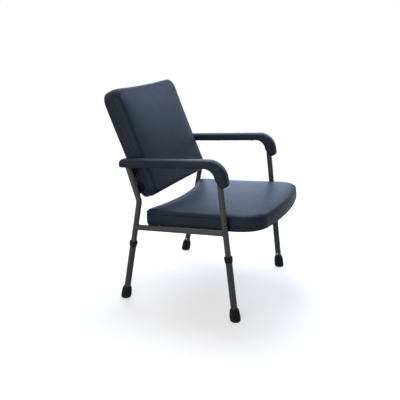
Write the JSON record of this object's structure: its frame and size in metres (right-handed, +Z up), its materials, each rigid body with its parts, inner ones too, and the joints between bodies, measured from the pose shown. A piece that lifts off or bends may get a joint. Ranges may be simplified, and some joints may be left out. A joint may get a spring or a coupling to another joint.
{
  "type": "orthopaedic chair",
  "caption": "High-seat clinic armchair: bent steel tube side frames, boxed vinyl seat and reclined back, wrapped arm pads, and sliding legs locked by sprung buttons.",
  "frame": {"origin": "on the floor, at the middle of the chair's width and depth", "axes": "+Z up, the sitter faces -Y, +X towards the sitter's left"},
  "size_m": [0.608, 0.6905, 0.8408],
  "materials": {
    "frame_coating": "satin powder coat",
    "navy_vinyl": "semi-gloss grained vinyl",
    "plywood": "raw birch plywood",
    "dust_cloth": "woven non-woven cloth, matt",
    "black_plastic": "moulded, satin",
    "black_rubber": "moulded, matt",
    "plain_steel": "bright zinc"
  },
  "bodies": {
    "frame": {"front_leg_arm_tube_left": "frame_coating", "rear_upright_tube_left": "frame_coating", "seat_rail_left": "frame_coating", "front_leg_arm_tube_right": "frame_coating", "rear_upright_tube_right": "frame_coating", "seat_rail_right": "frame_coating", "seat_cross_tube_front": "frame_coating", "seat_cross_tube_rear": "frame_coating", "back_cross_bar_lower": "frame_coating", "back_cross_bar_upper": "frame_coating", "seat_cushion": "navy_vinyl", "seat_board": "plywood", "seat_dust_cover": "dust_cloth", "back_cushion": "navy_vinyl", "back_board": "plywood", "back_panel": "navy_vinyl", "arm_pad_left": "navy_vinyl", "arm_pad_right": "navy_vinyl"},
    "leg_front_left": {"leg_extension_front_left": "frame_coating", "leg_collar_front_left": "black_plastic", "ferrule_front_left": "black_rubber"},
    "button_front_left": {"snap_button_front_left": "plain_steel", "snap_spring_front_left": "plain_steel"},
    "leg_front_right": {"leg_extension_front_right": "frame_coating", "leg_collar_front_right": "black_plastic", "ferrule_front_right": "black_rubber"},
    "button_front_right": {"snap_button_front_right": "plain_steel", "snap_spring_front_right": "plain_steel"},
    "leg_rear_left": {"leg_extension_rear_left": "frame_coating", "leg_collar_rear_left": "black_plastic", "ferrule_rear_left": "black_rubber"},
    "button_rear_left": {"snap_button_rear_left": "plain_steel", "snap_spring_rear_left": "plain_steel"},
    "leg_rear_right": {"leg_extension_rear_right": "frame_coating", "leg_collar_rear_right": "black_plastic", "ferrule_rear_right": "black_rubber"},
    "button_rear_right": {"snap_button_rear_right": "plain_steel", "snap_spring_rear_right": "plain_steel"}
  },
  "joints": [
    {"name": "leg_slide_front_left", "type": "slide", "parent": "frame", "child": "leg_front_left", "axis": [0, -0.1312, -0.9914], "range_m": [0, 0.15]},
    {"name": "leg_slide_front_right", "type": "slide", "parent": "frame", "child": "leg_front_right", "axis": [0, -0.1312, -0.9914], "range_m": [0, 0.15]},
    {"name": "leg_slide_rear_left", "type": "slide", "parent": "frame", "child": "leg_rear_left", "axis": [0, 0.1822, -0.9833], "range_m": [0, 0.15]},
    {"name": "leg_slide_rear_right", "type": "slide", "parent": "frame", "child": "leg_rear_right", "axis": [0, 0.1822, -0.9833], "range_m": [0, 0.15]},
    {"name": "button_press_front_left", "type": "slide", "parent": "frame", "child": "button_front_left", "axis": [1, 0, 0], "range_m": [0, 0.0045], "stiffness_N_per_m": 1000, "springref_m": -0.006, "deforming": ["snap_spring_front_left"]},
    {"name": "button_press_front_right", "type": "slide", "parent": "frame", "child": "button_front_right", "axis": [-1, 0, 0], "range_m": [0, 0.0045], "stiffness_N_per_m": 1000, "springref_m": -0.006, "deforming": ["snap_spring_front_right"]},
    {"name": "button_press_rear_left", "type": "slide", "parent": "frame", "child": "button_rear_left", "axis": [1, 0, 0], "range_m": [0, 0.0045], "stiffness_N_per_m": 1000, "springref_m": -0.006, "deforming": ["snap_spring_rear_left"]},
    {"name": "button_press_rear_right", "type": "slide", "parent": "frame", "child": "button_rear_right", "axis": [-1, 0, 0], "range_m": [0, 0.0045], "stiffness_N_per_m": 1000, "springref_m": -0.006, "deforming": ["snap_spring_rear_right"]}
  ]
}
